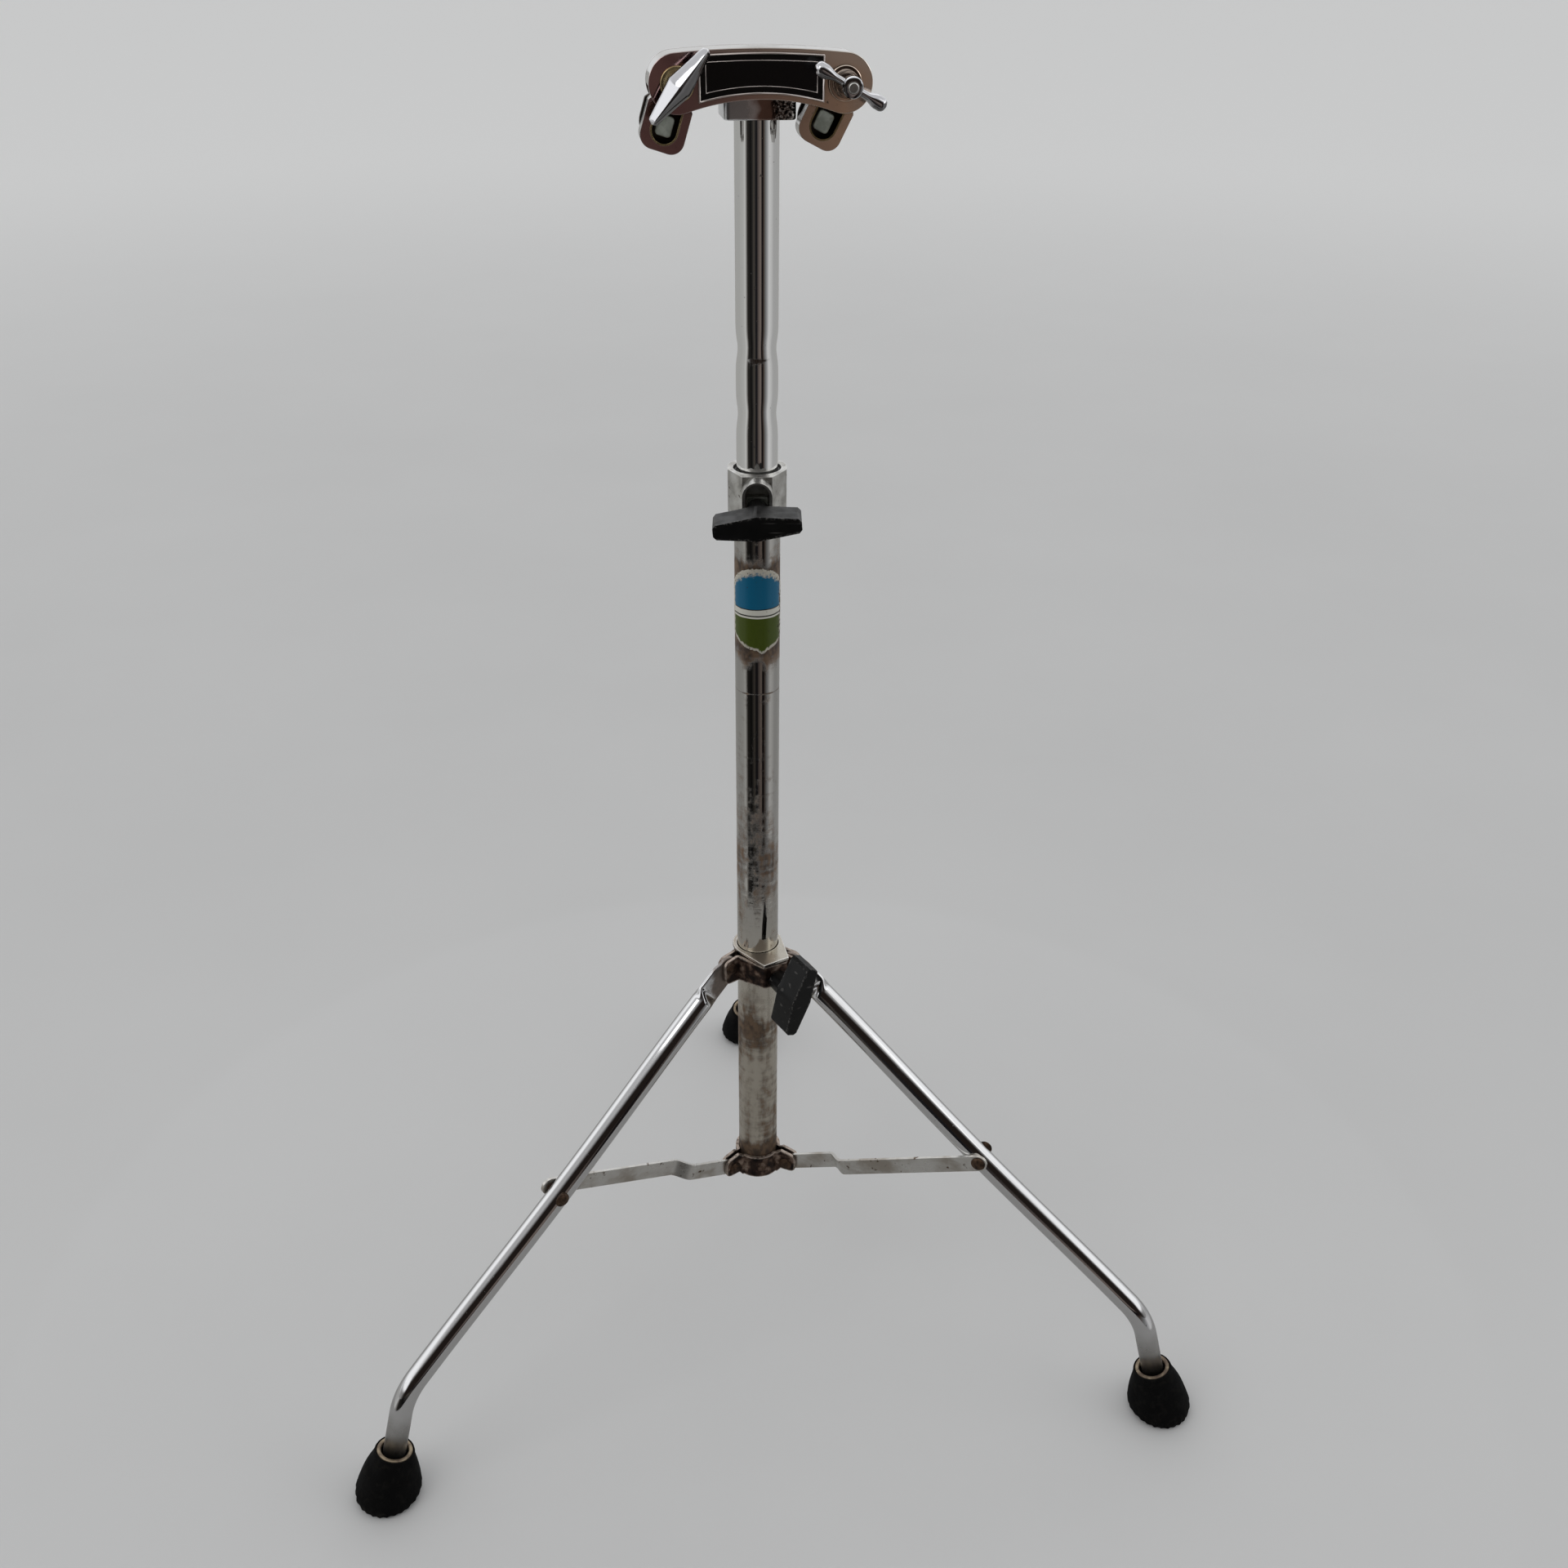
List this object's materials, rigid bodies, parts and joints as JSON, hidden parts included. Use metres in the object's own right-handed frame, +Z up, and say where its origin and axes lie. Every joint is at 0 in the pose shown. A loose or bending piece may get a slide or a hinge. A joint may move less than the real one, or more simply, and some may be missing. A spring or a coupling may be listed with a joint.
{
  "type": "timbale stand",
  "caption": "Chromed tripod percussion stand: telescoping column, folding braced legs and an arched bracket with tilting drum clips.",
  "frame": {"origin": "centre of the flat lower end of the column, where the column's axis leaves the tube's end plug", "axes": "+Z up the column; -Y is the way the bracket faces; the rear leg points within 5 degrees of +Y; the floor is at z = -0.1134 m"},
  "size_m": [0.5401, 0.4691, 0.8115],
  "materials": {
    "chrome": "bright chrome plate, fine scratches",
    "worn_chrome": "worn chrome plate with rust stains and pits",
    "rusty_steel": "plating worn off, brown rust",
    "zinc": "dull plated steel",
    "brass": "tarnished",
    "aged_brass": "dull, greyed",
    "black_plastic": "satin, lightly scratched",
    "badge_black": "black inlay, satin",
    "rubber": "matte",
    "label": "worn printed sticker"
  },
  "bodies": {
    "column": {"lower_tube": "worn_chrome", "tube_end_plug": "black_plastic", "tube_label": "label", "height_clamp": "chrome", "clamp_nut": "zinc", "hub_plate_front": "rusty_steel", "hub_plate_right": "rusty_steel", "hub_plate_left": "rusty_steel", "hub_rivet_rear": "rusty_steel", "hub_rivet_left": "rusty_steel", "hub_rivet_right": "rusty_steel"},
    "clamp_bush": {"clamp_bush": "black_plastic"},
    "clamp_knob": {"clamp_knob": "black_plastic", "clamp_screw": "zinc"},
    "upper_column": {"upper_tube": "chrome", "tube_socket": "chrome", "bracket_shell": "chrome", "bracket_back": "chrome", "badge_panel": "badge_black", "pivot_bolt_left": "chrome", "pivot_bolt_right": "chrome", "washer_left": "brass", "washer_right": "chrome"},
    "collar": {"collar_cap": "chrome", "collar_nut": "zinc", "collar_plate_front": "rusty_steel", "collar_plate_right": "rusty_steel", "collar_plate_left": "rusty_steel", "leg_rivet_rear": "rusty_steel", "leg_rivet_left": "rusty_steel", "leg_rivet_right": "rusty_steel"},
    "collar_knob": {"collar_knob": "black_plastic", "collar_screw": "zinc"},
    "tilter_left": {"tilter_left": "chrome", "clamp_block_left": "zinc", "rear_tab_left": "worn_chrome"},
    "tilter_right": {"tilter_right": "chrome", "clamp_block_right": "zinc", "rear_tab_right": "worn_chrome"},
    "wing_left": {"wing_bolt_left": "chrome"},
    "wing_right": {"wing_nut_right": "chrome"},
    "leg_rear": {"leg_rear": "chrome", "leg_stud_rear": "rusty_steel", "foot_rear": "rubber", "foot_ring_rear": "aged_brass"},
    "brace_rear": {"brace_rear": "worn_chrome", "brace_rivet_rear": "rusty_steel"},
    "leg_left": {"leg_left": "chrome", "leg_stud_left": "rusty_steel", "foot_left": "rubber", "foot_ring_left": "aged_brass"},
    "brace_left": {"brace_left": "worn_chrome", "brace_rivet_left": "rusty_steel"},
    "leg_right": {"leg_right": "chrome", "leg_stud_right": "rusty_steel", "foot_right": "rubber", "foot_ring_right": "aged_brass"},
    "brace_right": {"brace_right": "worn_chrome", "brace_rivet_right": "rusty_steel"}
  },
  "joints": [
    {"name": "column_swivel", "type": "hinge", "parent": "column", "child": "clamp_bush", "pos_m": [0, 0, 0.4696], "axis": [0, 0, 1], "continuous": true},
    {"name": "height_slide", "type": "slide", "parent": "clamp_bush", "child": "upper_column", "axis": [0, 0, 1], "range_m": [-0.15, 0.2]},
    {"name": "clamp_knob_turn", "type": "hinge", "parent": "column", "child": "clamp_knob", "pos_m": [0, 0, 0.4759], "axis": [-0.1219, -0.9925, 0], "continuous": true},
    {"name": "tripod_fold", "type": "slide", "parent": "column", "child": "collar", "axis": [0, 0, 1], "range_m": [0, 0.1465]},
    {"name": "collar_knob_turn", "type": "hinge", "parent": "collar", "child": "collar_knob", "pos_m": [-0.00137, -0.00061, 0.1706], "axis": [0.4067, -0.9135, 0], "continuous": true},
    {"name": "left_tilt", "type": "hinge", "parent": "upper_column", "child": "tilter_left", "pos_m": [-0.0396, 0, 0.6818], "axis": [0, -1, 0], "range_deg": [-16, 47.5]},
    {"name": "right_tilt", "type": "hinge", "parent": "upper_column", "child": "tilter_right", "pos_m": [0.0396, 0, 0.6818], "axis": [0, -1, 0], "range_deg": [-3, 60.5]},
    {"name": "left_wing_turn", "type": "hinge", "parent": "upper_column", "child": "wing_left", "pos_m": [-0.0396, 0, 0.6818], "axis": [0, -1, 0], "continuous": true},
    {"name": "right_wing_turn", "type": "hinge", "parent": "upper_column", "child": "wing_right", "pos_m": [0.0396, 0, 0.6818], "axis": [0, -1, 0], "continuous": true},
    {"name": "leg_fold_rear", "type": "hinge", "parent": "collar", "child": "leg_rear", "pos_m": [0.002, 0.02291, 0.1736], "axis": [-0.9962, 0.0872, 0], "range_deg": [0, 41.2]},
    {"name": "brace_fold_rear", "type": "hinge", "parent": "column", "child": "brace_rear", "pos_m": [0.00187, 0.02142, 0.0082], "axis": [0.9962, -0.0872, 0], "range_deg": [0, 58.9]},
    {"name": "leg_fold_left", "type": "hinge", "parent": "collar", "child": "leg_left", "pos_m": [-0.02002, -0.01133, 0.1736], "axis": [0.4924, -0.8704, 0], "range_deg": [0, 41.2]},
    {"name": "brace_fold_left", "type": "hinge", "parent": "column", "child": "brace_left", "pos_m": [-0.01871, -0.01059, 0.0082], "axis": [-0.4924, 0.8704, 0], "range_deg": [0, 58.9]},
    {"name": "leg_fold_right", "type": "hinge", "parent": "collar", "child": "leg_right", "pos_m": [0.01998, -0.0114, 0.1736], "axis": [0.4955, 0.8686, 0], "range_deg": [0, 41.2]},
    {"name": "brace_fold_right", "type": "hinge", "parent": "column", "child": "brace_right", "pos_m": [0.01868, -0.01065, 0.0082], "axis": [-0.4955, -0.8686, 0], "range_deg": [0, 58.9]}
  ],
  "couplings": [
    {"joint": "leg_fold_rear", "follows": "tripod_fold", "rad_per_m": 4.8818},
    {"joint": "brace_fold_rear", "follows": "tripod_fold", "rad_per_m": 6.9865},
    {"joint": "leg_fold_left", "follows": "tripod_fold", "rad_per_m": 4.8818},
    {"joint": "brace_fold_left", "follows": "tripod_fold", "rad_per_m": 6.9865},
    {"joint": "leg_fold_right", "follows": "tripod_fold", "rad_per_m": 4.8818},
    {"joint": "brace_fold_right", "follows": "tripod_fold", "rad_per_m": 6.9865}
  ]
}
